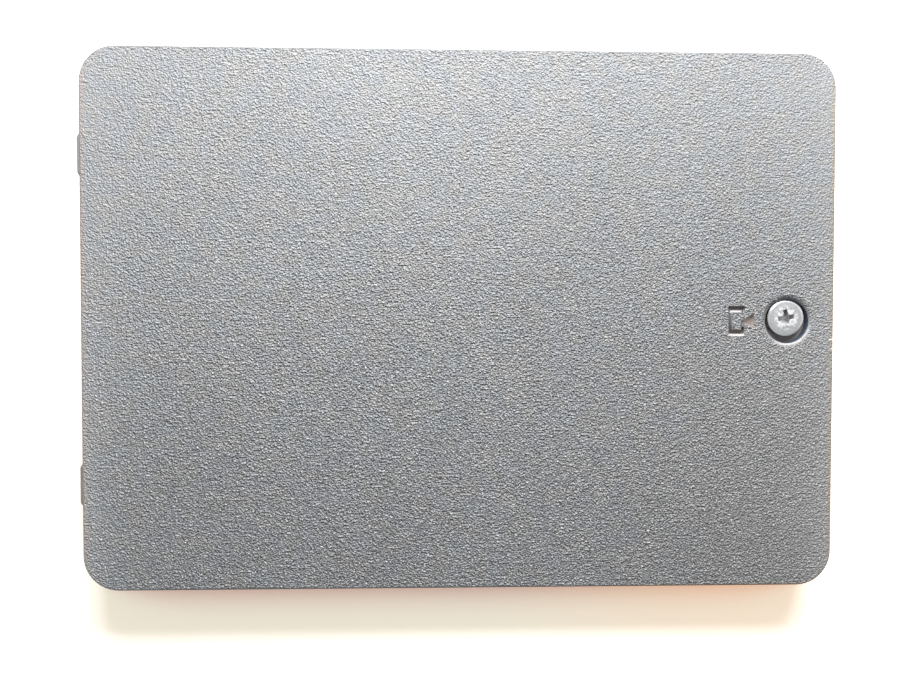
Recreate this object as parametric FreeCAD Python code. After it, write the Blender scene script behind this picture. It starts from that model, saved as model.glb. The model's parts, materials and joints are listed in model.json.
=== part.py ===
import FreeCAD, Part
import os
from math import cos, radians, sin, sqrt, tan

from FreeCAD import Vector

# Laptop access panel cover, in millimetres.
# The outer face looks up (+Z), the screw is near the +X edge and the tongue tabs are on the -X edge.
# The origin is under the middle of the whole part, at the level of the skirt's tip.

# Plate
panel_length = 105.0
panel_width = 75.1
corner_radius = 4.9
plate_thickness = 1.8
edge_round = 0.35

# Skirt that locates the panel in its opening
rim_land = 1.8
skirt_height = 4.0
skirt_wall = 1.2
skirt_tip_chamfer = 0.25
draft_angle = 1.0

# Stiffening ribs
rib_height = 1.3
rib_wall = 0.9
long_rib_count = 3
cross_rib_count = 4

# Marks left by the ejector pins
pin_mark_diameter = 3.2
pin_mark_depth = 0.12

# Tongue tabs that hook under the edge of the opening
tab_reach = 1.2
tab_width = 6.35
tab_spacing = 46.25
tab_thickness = 1.4
tab_corner_radius = 0.9
tab_lead_in = 0.35
gusset_wall = 0.8
gusset_height = 1.5

# Captive screw
head_diameter = 5.2
head_height = 1.1
head_dome = 0.12
head_edge_height = 0.8
head_bevel = 0.34
neck_diameter = 1.9
neck_fillet = 0.15
thread_diameter = 2.5
thread_length = 1.7
thread_chamfer = 0.35
screw_lift = 1.0

# Cross recess in the screw head
drive_span = 2.4
drive_arm_width = 0.62
drive_core_diameter = 1.2
drive_depth = 0.8
drive_end_taper = 24.0
drive_side_taper = 6.0
drive_turn = 10.0

# Spring clip on the screw's neck
clip_diameter = 4.5
clip_thickness = 0.5
clip_rim = 0.68
clip_opening_share = 0.85
clip_pocket_start = -5.0
clip_pocket_end = 50.0

# Screw seat, and how the loose screw stands in it
screw_inset = 6.7
head_depth = 0.2
seat_rim_round = 0.15
seat_draft = 1.5
seat_floor = 0.9
boss_wall = 1.1
lean_share = 0.93
lean_direction = 92.0

# Clearances
head_clearance = 0.54
thread_clearance = 0.3
clip_clearance = 0.04
clip_end_gap = 0.03
boss_clearance = 0.3

# Levels and places that follow from the sizes above
UP = Vector(0, 0, 1)
same_place = 1e-6
panel_x = tab_reach / 2
underside_z = skirt_height
face_z = underside_z + plate_thickness
mid_plate_z = underside_z + plate_thickness / 2
draft = tan(radians(draft_angle))
skirt_inner_inset = rim_land + skirt_wall
inner_length = panel_length - 2 * skirt_inner_inset
inner_width = panel_width - 2 * skirt_inner_inset

seat_x = panel_x + panel_length / 2 - screw_inset
seat_radius = head_diameter / 2 + head_clearance
seat_floor_z = face_z - head_depth - head_height
boss_bottom_z = seat_floor_z - seat_floor
boss_radius = seat_radius + boss_wall
hole_radius = thread_diameter / 2 + thread_clearance

neck_length = seat_floor + screw_lift + clip_thickness + 2 * clip_end_gap
thread_top_z = seat_floor_z - neck_length
tip_z = thread_top_z - thread_length
screw_play = min(hole_radius - neck_diameter / 2, head_clearance)
lean = lean_share * screw_play
screw_x = seat_x + lean * cos(radians(lean_direction))
screw_y = lean * sin(radians(lean_direction))


def rounded_rectangle(length, width, radius, z):
    """Closed wire round the panel's middle, starting where the first corner arc leaves the +X side."""
    half_x = length / 2 - radius
    half_y = width / 2 - radius
    arcs = []
    for turn, (side_x, side_y) in enumerate(((1, 1), (-1, 1), (-1, -1), (1, -1))):
        centre = Vector(panel_x + side_x * half_x, side_y * half_y, z)
        arcs.append(Part.makeCircle(radius, centre, UP, 90 * turn, 90 * turn + 90))
    edges = []
    for arc, following in zip(arcs, arcs[1:] + arcs[:1]):
        edges.append(arc)
        edges.append(Part.makeLine(arc.Vertexes[-1].Point, following.Vertexes[0].Point))
    return Part.Wire(edges)


def revolved(points, x, y):
    """Solid of revolution about the upright line at x, y, from a closed list of (radius, z) points."""
    outline = Part.makePolygon([Vector(x + r, y, z) for r, z in points + points[:1]])
    return Part.Face(outline).revolve(Vector(x, y, 0), UP, 360)


def plate():
    """Flat plate with round corners and a small round along the edge of its outer face."""
    outline = Part.Face(rounded_rectangle(panel_length, panel_width, corner_radius, underside_z))
    slab = outline.extrude(UP * plate_thickness)
    rim = [edge for edge in slab.Edges if all(abs(v.Z - face_z) < same_place for v in edge.Vertexes)]
    return slab.makeFillet(edge_round, rim)


def skirt():
    """Drafted wall with a chamfered tip, carried round the panel on its outer root line."""
    root_length = panel_length - 2 * rim_land
    root_width = panel_width - 2 * rim_land
    path = rounded_rectangle(root_length, root_width, corner_radius - rim_land, underside_z)
    start = path.OrderedVertexes[0].Point
    taper = draft * skirt_height
    outer_tip = start.x - taper
    inner_tip = start.x - skirt_wall + taper
    section = [
        (start.x, mid_plate_z),
        (start.x, underside_z),
        (outer_tip, skirt_tip_chamfer),
        (outer_tip - skirt_tip_chamfer, 0),
        (inner_tip + skirt_tip_chamfer, 0),
        (inner_tip, skirt_tip_chamfer),
        (start.x - skirt_wall, underside_z),
        (start.x - skirt_wall, mid_plate_z),
    ]
    profile = Part.makePolygon([Vector(x, start.y, z) for x, z in section + section[:1]])
    return path.makePipeShell([profile], True, False)


def spread(count, span):
    """Places of count lines that divide a centred span into equal bays."""
    return [span * ((i + 1) / (count + 1) - 0.5) for i in range(count)]


def rib(length):
    """Drafted rib along X through the origin, from mid-plate down, with its ends in the skirt's wall."""
    root = rib_wall / 2
    tip = root - draft * rib_height
    section = [
        (-root, mid_plate_z),
        (-root, underside_z),
        (-tip, underside_z - rib_height),
        (tip, underside_z - rib_height),
        (root, underside_z),
        (root, mid_plate_z),
    ]
    profile = Part.makePolygon([Vector(-length / 2, y, z) for y, z in section + section[:1]])
    return Part.Face(profile).extrude(Vector(length, 0, 0))


def rib_lattice():
    """Long and cross ribs inside the skirt, kept clear of the space under the screw boss."""
    ribs = []
    for y in spread(long_rib_count, inner_width):
        long_rib = rib(inner_length + skirt_wall)
        long_rib.translate(Vector(panel_x, y, 0))
        ribs.append(long_rib)
    for x in spread(cross_rib_count, inner_length):
        cross_rib = rib(inner_width + skirt_wall)
        cross_rib.rotate(Vector(0, 0, 0), UP, 90)
        cross_rib.translate(Vector(panel_x + x, 0, 0))
        ribs.append(cross_rib)
    lattice = ribs[0].multiFuse(ribs[1:])
    under_boss = Part.makeCylinder(boss_radius + boss_clearance, underside_z, Vector(seat_x, 0, 0))
    return lattice.cut(under_boss)


def tab(y):
    """Tongue under the plate with round outer corners and a lead-in along its tip."""
    outer_x = panel_x - panel_length / 2 - tab_reach
    root_x = panel_x - panel_length / 2 + rim_land + skirt_wall / 2
    corner = Vector(outer_x, y - tab_width / 2, underside_z - tab_thickness)
    tongue = Part.makeBox(root_x - outer_x, tab_width, tab_thickness, corner)
    uprights = [e for e in tongue.Edges if all(abs(v.X - outer_x) < same_place for v in e.Vertexes)
                and abs(e.Vertexes[0].Z - e.Vertexes[1].Z) > same_place]
    tongue = tongue.makeFillet(tab_corner_radius, uprights)
    tip_limit = outer_x + tab_corner_radius + same_place
    lead_in = [e for e in tongue.Edges if all(abs(v.Z - underside_z) < same_place for v in e.Vertexes)
               and all(v.X < tip_limit for v in e.Vertexes)]
    return tongue.makeChamfer(tab_lead_in, lead_in)


def tab_gusset(y):
    """Three-cornered web between the skirt and the middle of a tongue's lower side."""
    edge_x = panel_x - panel_length / 2
    root_x = edge_x + rim_land + skirt_wall / 2
    top_z = underside_z - tab_thickness
    corners = [(edge_x, top_z), (root_x, top_z), (root_x, top_z - gusset_height)]
    web = Part.makePolygon([Vector(x, y - gusset_wall / 2, z) for x, z in corners + corners[:1]])
    return Part.Face(web).extrude(Vector(0, gusset_wall, 0))


def screw_boss():
    """Drafted pad under the plate that carries the floor of the screw seat."""
    taper = draft * (mid_plate_z - boss_bottom_z)
    return revolved([
        (0, mid_plate_z),
        (0, boss_bottom_z),
        (boss_radius - taper, boss_bottom_z),
        (boss_radius, mid_plate_z),
    ], seat_x, 0)


def seat_space():
    """Stepped recess for the screw: round rim, conical wall, flat floor, and a hole with a relieved mouth."""
    wall_top_z = face_z - seat_rim_round
    floor_radius = seat_radius - tan(radians(seat_draft)) * (wall_top_z - seat_floor_z)
    rim_radius = seat_radius + seat_rim_round
    above_z = face_z + plate_thickness
    bend = seat_rim_round * cos(radians(45))
    wall_top = Vector(seat_x + seat_radius, 0, wall_top_z)
    rim_middle = Vector(seat_x + rim_radius - bend, 0, wall_top_z + bend)
    rim_top = Vector(seat_x + rim_radius, 0, face_z)
    rim_arc = Part.Arc(wall_top, rim_middle, rim_top).toShape()
    rest = [rim_top, Vector(seat_x + rim_radius, 0, above_z), Vector(seat_x, 0, above_z),
            Vector(seat_x, 0, seat_floor_z), Vector(seat_x + floor_radius, 0, seat_floor_z), wall_top]
    sides = [Part.makeLine(a, b) for a, b in zip(rest, rest[1:])]
    recess = Part.Face(Part.Wire([rim_arc] + sides)).revolve(Vector(seat_x, 0, 0), UP, 360)
    hole = Part.makeCylinder(hole_radius, face_z, Vector(seat_x, 0, 0))
    mouth_base = Vector(seat_x, 0, seat_floor_z - neck_fillet)
    mouth = Part.makeCone(hole_radius, hole_radius + neck_fillet, neck_fillet, mouth_base)
    return recess.multiFuse([hole, mouth])


def pin_marks():
    """Shallow round marks in the underside, in the middle of bays along both long sides."""
    bay_x = inner_length / (cross_rib_count + 1)
    bay_y = inner_width / (long_rib_count + 1)
    marks = []
    for column in range(0, cross_rib_count + 1, 2):
        for row in (0, long_rib_count):
            x = panel_x - inner_length / 2 + bay_x * (column + 0.5)
            y = -inner_width / 2 + bay_y * (row + 0.5)
            base = Vector(x, y, underside_z - pin_mark_depth)
            marks.append(Part.makeCylinder(pin_mark_diameter / 2, 2 * pin_mark_depth, base))
    return Part.makeCompound(marks)


def cover_panel():
    """The whole moulding as one solid."""
    pieces = [skirt(), rib_lattice(), screw_boss()]
    for y in (-tab_spacing / 2, tab_spacing / 2):
        pieces += [tab(y), tab_gusset(y)]
    body = plate().multiFuse(pieces).removeSplitter()
    return body.cut(seat_space()).cut(pin_marks())


def cross_recess():
    """Two crossed tapering slots and the central cone, turned as the screw stands."""
    top_z = seat_floor_z + head_height
    bottom_z = top_z - drive_depth
    half_span = drive_span / 2
    half_arm = drive_arm_width / 2
    bottom_span = half_span - tan(radians(drive_end_taper)) * drive_depth
    bottom_arm = half_arm - tan(radians(drive_side_taper)) * drive_depth
    slot = Part.makeWedge(
        -bottom_span, 0, -bottom_arm, -half_arm, -half_span,
        bottom_span, drive_depth, bottom_arm, half_arm, half_span,
    )
    slot.rotate(Vector(0, 0, 0), Vector(1, 0, 0), 90)
    other = slot.copy()
    other.rotate(Vector(0, 0, 0), UP, 90)
    cone = Part.makeCone(half_arm, drive_core_diameter / 2, drive_depth)
    recess = slot.multiFuse([other, cone])
    recess.rotate(Vector(0, 0, 0), UP, drive_turn)
    recess.translate(Vector(screw_x, screw_y, bottom_z))
    return recess


def captive_screw():
    """Turned screw: domed head with a bevelled edge, reduced neck, plain thread zone, cross recess."""
    head_radius = head_diameter / 2
    neck_radius = neck_diameter / 2
    thread_radius = thread_diameter / 2
    head_top_z = seat_floor_z + head_height
    flat_radius = head_radius - head_bevel
    dome_radius = (flat_radius ** 2 + head_dome ** 2) / (2 * head_dome)
    dome_rise = dome_radius - sqrt(dome_radius ** 2 - (flat_radius / 2) ** 2)

    def at(radius, z):
        return Vector(screw_x + radius, screw_y, z)

    dome = Part.Arc(at(flat_radius, head_top_z - head_dome), at(flat_radius / 2, head_top_z - dome_rise),
                    at(0, head_top_z)).toShape()
    outline = [
        at(0, head_top_z),
        at(0, tip_z),
        at(thread_radius - thread_chamfer, tip_z),
        at(thread_radius, tip_z + thread_chamfer),
        at(thread_radius, thread_top_z),
        at(neck_radius, thread_top_z),
        at(neck_radius, seat_floor_z - neck_fillet),
        at(neck_radius + neck_fillet, seat_floor_z),
        at(head_radius, seat_floor_z),
        at(head_radius, seat_floor_z + head_edge_height),
        at(flat_radius, head_top_z - head_dome),
    ]
    sides = [Part.makeLine(a, b) for a, b in zip(outline, outline[1:])]
    blank = Part.Face(Part.Wire(sides + [dome])).revolve(Vector(screw_x, screw_y, 0), UP, 360)
    return blank.cut(cross_recess())


def ring_sector(inner, outer, start, end, height):
    """Solid sector of a flat ring about the origin, between two angles in degrees."""
    def at(radius, angle):
        return Vector(radius * cos(radians(angle)), radius * sin(radians(angle)), 0)

    middle = (start + end) / 2
    outer_arc = Part.Arc(at(outer, start), at(outer, middle), at(outer, end)).toShape()
    inner_arc = Part.Arc(at(inner, end), at(inner, middle), at(inner, start)).toShape()
    sides = [Part.makeLine(at(outer, end), at(inner, end)), Part.makeLine(at(inner, start), at(outer, start))]
    return Part.Face(Part.Wire([outer_arc, sides[0], inner_arc, sides[1]])).extrude(UP * height)


def retaining_clip():
    """Open spring clip with three inner lugs, resting on the thread's shoulder."""
    bore_radius = neck_diameter / 2 + clip_clearance
    outer_radius = clip_diameter / 2
    pocket_radius = outer_radius - clip_rim
    opening = neck_diameter * clip_opening_share
    disc = Part.makeCylinder(outer_radius, clip_thickness)
    bore = Part.makeCylinder(bore_radius, clip_thickness)
    mouth = Part.makeBox(opening, outer_radius, clip_thickness, Vector(-opening / 2, -outer_radius, 0))
    inside = bore_radius / 2
    spans = [(clip_pocket_start, clip_pocket_end), (180 - clip_pocket_end, 180 - clip_pocket_start)]
    pockets = [ring_sector(inside, pocket_radius, start, end, clip_thickness) for start, end in spans]
    clip = disc.cut(bore.multiFuse([mouth] + pockets))
    clip.translate(Vector(screw_x, screw_y, thread_top_z + clip_end_gap))
    return clip


def main():
    os.makedirs("parts", exist_ok=True)
    pieces = {
        "cover_panel": cover_panel(),
        "captive_screw": captive_screw(),
        "retaining_clip": retaining_clip(),
    }
    for name, shape in pieces.items():
        box = shape.BoundBox
        print(name, len(shape.Solids), "solid", shape.isValid(), round(shape.Volume, 3), "mm3",
              [round(v, 3) for v in (box.XMin, box.XMax, box.YMin, box.YMax, box.ZMin, box.ZMax)])
        shape.exportStep("parts/" + name + ".step")
    print("screw axis", round(screw_x, 4), round(screw_y, 4), "thread", round(tip_z, 4), round(thread_top_z, 4))


main()
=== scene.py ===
import json
import math
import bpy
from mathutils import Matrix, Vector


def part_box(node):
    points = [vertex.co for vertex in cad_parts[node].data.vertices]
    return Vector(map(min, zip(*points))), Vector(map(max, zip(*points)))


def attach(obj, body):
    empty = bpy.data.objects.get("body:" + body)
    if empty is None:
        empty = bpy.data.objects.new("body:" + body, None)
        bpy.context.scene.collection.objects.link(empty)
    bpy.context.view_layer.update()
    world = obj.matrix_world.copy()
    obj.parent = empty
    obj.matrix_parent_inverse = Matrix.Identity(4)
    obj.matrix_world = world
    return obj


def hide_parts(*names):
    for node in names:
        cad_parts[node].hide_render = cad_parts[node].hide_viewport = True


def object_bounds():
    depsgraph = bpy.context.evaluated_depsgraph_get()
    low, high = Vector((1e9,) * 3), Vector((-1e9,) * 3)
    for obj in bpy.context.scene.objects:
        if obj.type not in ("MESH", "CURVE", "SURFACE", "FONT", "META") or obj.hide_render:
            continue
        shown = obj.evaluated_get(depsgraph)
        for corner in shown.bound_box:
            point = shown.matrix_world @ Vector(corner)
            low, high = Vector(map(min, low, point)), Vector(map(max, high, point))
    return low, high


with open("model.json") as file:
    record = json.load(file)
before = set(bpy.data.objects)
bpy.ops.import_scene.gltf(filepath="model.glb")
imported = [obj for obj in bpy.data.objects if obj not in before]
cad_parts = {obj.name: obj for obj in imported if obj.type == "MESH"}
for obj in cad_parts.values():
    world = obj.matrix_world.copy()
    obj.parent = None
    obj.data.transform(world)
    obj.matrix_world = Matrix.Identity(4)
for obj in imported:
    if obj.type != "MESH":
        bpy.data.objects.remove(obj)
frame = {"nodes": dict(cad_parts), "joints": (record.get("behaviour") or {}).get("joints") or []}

from types import SimpleNamespace

import bmesh
import bpy
import numpy as np

CAD_LOW, CAD_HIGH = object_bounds()

bl_info = {
    "name": "Access panel cover",
    "version": (1, 0, 0),
    "blender": (4, 5, 0),
    "location": "3D View > Sidebar > Cover",
    "description": "Dresses a grained access panel cover with its captive screw, clip and studio",
    "category": "Object",
}

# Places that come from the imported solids, in metres
MM = 0.001
PANEL_LOW, PANEL_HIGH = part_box("cover_panel")
SCREW_LOW, SCREW_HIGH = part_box("captive_screw")
CLIP_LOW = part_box("retaining_clip")[0]
FACE_Z = PANEL_HIGH.z
SEAT_FLOOR_Z = next(j for j in frame["joints"] if j["name"] == "screw_turn")["pos_m"][2]
SCREW_X = (SCREW_LOW.x + SCREW_HIGH.x) / 2
SCREW_Y = (SCREW_LOW.y + SCREW_HIGH.y) / 2
HEAD_RADIUS = (SCREW_HIGH.x - SCREW_LOW.x) / 2
CLIP_GAP = 0.03 * MM
THREAD_TOP_Z = CLIP_LOW.z - CLIP_GAP

# Heights between which the zones of the panel's finish begin or end
FACE_START = (FACE_Z - 0.05 * MM, FACE_Z - 0.02 * MM)
DISH_START = (FACE_Z - 0.14 * MM, FACE_Z - 0.09 * MM)
SIGN_END = (FACE_Z - 0.1 * MM, FACE_Z - 0.04 * MM)
SEAT_END = (FACE_Z - 0.3 * MM, FACE_Z - 0.2 * MM)
RIM_START = (FACE_Z - 0.4 * MM, FACE_Z - 0.3 * MM)
EDGE_START = (FACE_Z - 0.6 * MM, FACE_Z - 0.3 * MM)
UNDERSIDE_END = (SEAT_FLOOR_Z - 0.2 * MM, SEAT_FLOOR_Z - 0.1 * MM)

# Stretches of the panel along which its finish, its painted light and its painted glints change
FRONT_TO_BACK = (-38 * MM, 38 * MM)
BACK_HALF = (-5 * MM, 38 * MM)
SIDE_LIGHT_STRETCH = (-38 * MM, 22 * MM)
PAINTED_CORNER_LEFT = (-15 * MM, 25 * MM)
PAINTED_CORNER_BACK = (-25 * MM, 10 * MM)
WARM_FILL_RIGHT = (15 * MM, 50 * MM)
WARM_FILL_FRONT = (-30 * MM, 10 * MM)
LEFT_TO_RIGHT = (-10 * MM, 10 * MM)
RIGHT_HALF = (0.0, 45 * MM)

# Where the screw's dark deposit and painted shade end in front, from its axis, so that the recess's
# front arm, which faces the window light, stays bright
GRIME_AND_SHADE_FRONT = (-0.6 * MM, -0.3 * MM)

# Width over which one tone passes into the next, widths of the panel's borders, from full to none,
# width of the seat's sloping wall and how far in the sides' wear flattens the grain
SOFT = 0.1 * MM
SIDE_BORDER = (0.3 * MM, 1.0 * MM)
THIN_BORDER = (0.12 * MM, 0.42 * MM)
PLAIN_BORDER = (1.5 * MM, 1.8 * MM)
RIM_BORDER = (0.08 * MM, 0.2 * MM)
SEAT_WALL = 0.25 * MM
GRAIN_WEAR_REACH = 9 * MM

# Spacings and heights of the faint patterns in the finishes
SATIN_SPACING = 0.12 * MM
PATCH_SPACING = 14 * MM
WARMTH_SPACING = 2.5 * MM
MOTTLE_SPACING = 0.22 * MM
MOTTLE_HEIGHT = 0.03 * MM
BLOTCH_SPACING = 0.55 * MM
RING_SPACING = 0.06 * MM
RING_HEIGHT = 0.006 * MM
OIL_SPACING = 0.35 * MM
OIL_HEIGHT = 0.01 * MM

# How strongly patterns, tints, marks, painted light and painted shade show
PATCH_TONE, PATCH_ROUGHNESS = 0.12, 0.08
SATIN_ROUGHNESS, MOST_ROUGHNESS = 0.45, 0.75
# The warm corner is painted warm light at the front right, standing in for a warm fill lamp.
PAINTED_WARM_FILL = 0.3
# The side strength is that of painted shading on the rounded short sides.
# The sign's strength is mostly that of painted shade in its frame.
SIGN_SHADE_AND_TONE, SIDE_PAINTED_SHADING = 0.9, 0.75
# The wall and rim strengths are those of a painted highlight where these face the window light.
WALL_HIGHLIGHT, RIM_HIGHLIGHT = 0.8, 0.56
SCUFF_STRENGTH, CHIP_STRENGTH = 0.2, 0.5
MOTTLE_TONE, MOTTLE_ROUGHNESS = 0.6, 0.16
# The recess's dark deposit on the screw is partly dirt and partly painted shade.
RECESS_WEAR, RECESS_GRIME_AND_SHADE, RECESS_ROUGHNESS = 0.85, 0.9, 0.2
RECESS_DULL, BEVEL_DULL = 0.3, 0.5
# The head's shading is painted: the head is painted lighter towards the back, where the window light is.
HEAD_TONE, HEAD_SHADING = 0.96, 0.1
OIL_TONE, OIL_ROUGHNESS = 0.3, 0.2

# Directions, as x and y, to the parts of the seat's rim and of the screw's bevel that face the window
# light and get a painted highlight
LIT_RIM_SIDE = (0.45, -0.9)
LIT_BEVEL_SIDE = (0.6, 0.8)

# Marks of use on the panel
LONG_SCUFF = {
    "start": (-2.2 * MM, 1.6 * MM), "end": (5.9 * MM, -7.8 * MM), "bow": 0.4 * MM, "width": 0.35 * MM}
EDGE_NICK = {
    "start": (52.2 * MM, -2.57 * MM), "end": (53.4 * MM, -2.57 * MM), "bow": 0.0, "width": 0.2 * MM}
EDGE_CHIP = {"spot": (52.8 * MM, -3.9 * MM), "radius": 0.25 * MM}

# Mesh work
MERGE_DISTANCE = 0.0005 * MM
FLAT_ANGLE = 0.5
SHARP_ANGLE = 35
LEVEL_NORMAL = 0.9999
CUTTER_CLEARANCE = 0.1 * MM

# Stage: NOOK_END is the open share of the sky at which the painted nook shade ends
NOOK_END = (0.62, 0.9)
WHITE = (1.0, 1.0, 1.0, 1.0)
FLOOR_HALF = 1.5
FLOOR_GAP = 0.01 * MM
UNDER_DEPTH = 0.2
UNDER_SIZE = 0.2
SENSOR_WIDTH = 36.0
NEAREST_SEEN = 1 * MM


def number(name, description, default):
    """A plain number property."""
    return bpy.props.FloatProperty(name=name, description=description, default=default)


def length(name, description, default):
    """A length property, in metres."""
    return bpy.props.FloatProperty(
        name=name, description=description, default=default, unit="LENGTH", precision=6)


def share(name, description, default):
    """A property between nothing and all."""
    return bpy.props.FloatProperty(
        name=name, description=description, default=default, min=0.0, max=1.0, subtype="FACTOR")


def angle(name, description, degrees):
    """An angle property, with its default given in degrees."""
    return bpy.props.FloatProperty(
        name=name, description=description, default=math.radians(degrees), subtype="ANGLE")


def colour(name, description, default):
    """A linear colour property."""
    return bpy.props.FloatVectorProperty(
        name=name, description=description, default=default, size=3, min=0.0, max=1.0, subtype="COLOR")


def power(name, description, default):
    """A light's power, in watts."""
    return bpy.props.FloatProperty(
        name=name, description=description, default=default, min=0.0, unit="POWER")


def place(name, description, default):
    """A point property, in metres."""
    return bpy.props.FloatVectorProperty(
        name=name, description=description, default=default, size=3, subtype="TRANSLATION", precision=5)


class CoverPanelLook(bpy.types.PropertyGroup):
    """Sizes and colours of the moulded panel."""

    tab_reach: length("Tab reach", "How far the tongue tabs stand past the plate", 1.2 * MM)
    corner_radius: length("Corner radius", "Radius of the plate's corners", 4.9 * MM)
    seat_inset: length("Seat inset", "From the plate's edge to the middle of the screw seat", 6.7 * MM)
    seat_rim_radius: length("Seat rim radius", "Outer radius of the seat's round rim", 3.29 * MM)
    dish_width: length("Dish width", "Width of the shallow dish round the seat", 0.5 * MM)
    dish_depth: length("Dish depth", "Depth of the shallow dish at the seat's rim", 0.1 * MM)
    grain_spacing: length("Grain spacing", "Distance between the grain's lumps", 0.24 * MM)
    grain_height: length("Grain height", "Height of the grain from low to high", 0.46 * MM)
    cluster_spacing: length("Cluster spacing", "Distance between clusters of lumps", 0.45 * MM)
    cluster_height: length("Cluster height", "Height of the clusters", 0.2 * MM)
    grain_margin: length("Grain margin", "Smooth border where the grain fades at edges", 0.2 * MM)
    satin_height: length("Satin height", "Height of the fine finish off the outer face", 0.02 * MM)
    lump_tone: number("Lump tone", "How much the tone follows the grain's height", 1.5)
    fleck_tone: number("Fleck tone", "How much the tone of the grain's fine flecks varies", 2.5)
    # The grain's lighter peaks are partly worn plastic and partly painted glints, much stronger in front
    # than behind.
    peak_level: share("Peak level", "Height share from which the grain's peaks are lighter", 0.62)
    peak_glint_front: number("Peaks at the front", "How much lighter the grain's peaks are in front", 1.6)
    peak_glint_back: share("Peaks at the back", "How much lighter the grain's peaks are behind", 0.05)
    plastic: colour("Plastic", "Colour of the plastic", (0.282, 0.294, 0.312))
    warm_plastic: colour("Warm plastic", "Colour of its warmer patches", (0.297, 0.297, 0.299))
    # The two side edge colours are painted shading of the rounded short sides: lighter at the tabs'
    # side, warm brown at the screw's side.
    left_edge_painted_shading: colour("Left edge tint", "Worn plastic at the tabs' side", (0.378, 0.33, 0.305))
    right_edge_painted_shading: colour("Right edge tint", "Worn plastic at the screw's side", (0.3, 0.265, 0.218))
    # The back edge colour is painted shade that darkens the rounded back edge, which the window light
    # would show near white.
    back_edge_painted_shade: colour("Back edge tint", "Rounded edge at the back", (0.19, 0.192, 0.195))
    # The front edge colour is painted warm light on the front edge's right end, standing in for a warm
    # fill lamp.
    front_edge_painted_warm_light: colour("Front edge tint", "Front edge at its right end", (0.42, 0.285, 0.2))
    # The tab colour is painted light: the tabs lie in the plate's shadow and are painted light grey.
    tab_painted_light: colour("Tab tint", "Tone of the smooth tongue tabs", (0.5, 0.49, 0.47))
    # The recess colour is painted shade: the sign's frame is painted dark.
    recess_painted_shade: colour("Recess tint", "Smooth plastic in the sign's frame", (0.125, 0.108, 0.104))
    arrow_tint: colour("Arrow tint", "Smooth plastic in the sign's arrow", (0.27, 0.22, 0.2))
    seat_floor_tint: colour("Seat floor tint", "Tone of the seat's floor", (0.3, 0.272, 0.26))
    # The seat wall colour is painted shade: the seat's wall is painted dark blue.
    seat_wall_painted_shade: colour("Seat wall tint", "Tone of the seat's wall", (0.055, 0.072, 0.112))
    # This colour is a painted highlight on the sign's walls and the seat's rim where they face the
    # window light.
    painted_highlight: colour("Rubbed tint", "Tone of the sign's walls and the seat's rim", (0.6, 0.59, 0.575))
    scraped: colour("Scraped", "Colour of plastic that has been scraped", (0.92, 0.91, 0.89))
    # The next three set painted light: the plastic is painted lighter near the short sides, most in
    # front, where the edges look brighter.
    side_light_reach: length("Wear reach", "How far the lighter wear of the short sides reaches in", 3.5 * MM)
    side_light_front: share("Wear at the front", "How much lighter the short sides are in front", 0.5)
    side_light_back: share("Wear at the back", "How much lighter the short sides are behind", 0.08)
    side_wear: share("Grain wear at the sides", "How much flatter the grain is at the sides", 0.45)
    back_wear: share("Grain wear at the back", "How much flatter the grain is at the back", 0.35)
    # The next two set painted light: the plastic is painted lighter towards the tabs and in the back
    # left corner, which the window light, set off to the right, reaches less.
    fading: number("Fading", "How much lighter the plastic gets towards the tabs, for each metre", 1.2)
    painted_corner_light: share("Faded corner", "How much lighter the back left corner is", 0.09)
    roughness: share("Roughness", "Roughness of the plastic", 0.34)
    gloss: share("Gloss", "Strength of the plastic's reflections", 0.5)
    back_dull: share("Dull back", "How much rougher the plastic is along the back", 0.1)
    sign_left: length("Sign left", "Left side of the recessed sign", 38.05 * MM)
    sign_top: length("Sign top", "Upper side of the recessed sign", 2.1 * MM)
    sign_width: length("Sign width", "Width of the sign's frame", 2.25 * MM)
    sign_height: length("Sign height", "Height of the sign's frame", 4.2 * MM)
    sign_depth: length("Sign depth", "Depth of the sign's recesses", 0.38 * MM)
    sign_bar: length("Sign bar", "Width of the frame's upper and lower bars", 0.88 * MM)
    sign_upright: length("Sign upright", "Width of the frame's upright bars", 0.42 * MM)
    sign_return: length("Sign return", "Height of the frame's short right ends", 1.3 * MM)
    sign_slope: length("Sign slope", "How far the walls along x lean in from face to floor", 0.34 * MM)
    sign_upright_slope: length("Sign upright slope", "How far the walls along y lean in", 0.15 * MM)
    sign_round: length("Sign round", "Width of the eased edge of the recesses", 0.06 * MM)
    arrow_tip: length("Arrow tip", "From the sign's left side to the arrow's tip", 1.62 * MM)
    arrow_length: length("Arrow length", "Length of the arrow", 1.92 * MM)
    arrow_width: length("Arrow width", "Width of the arrow's base", 2.05 * MM)


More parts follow.
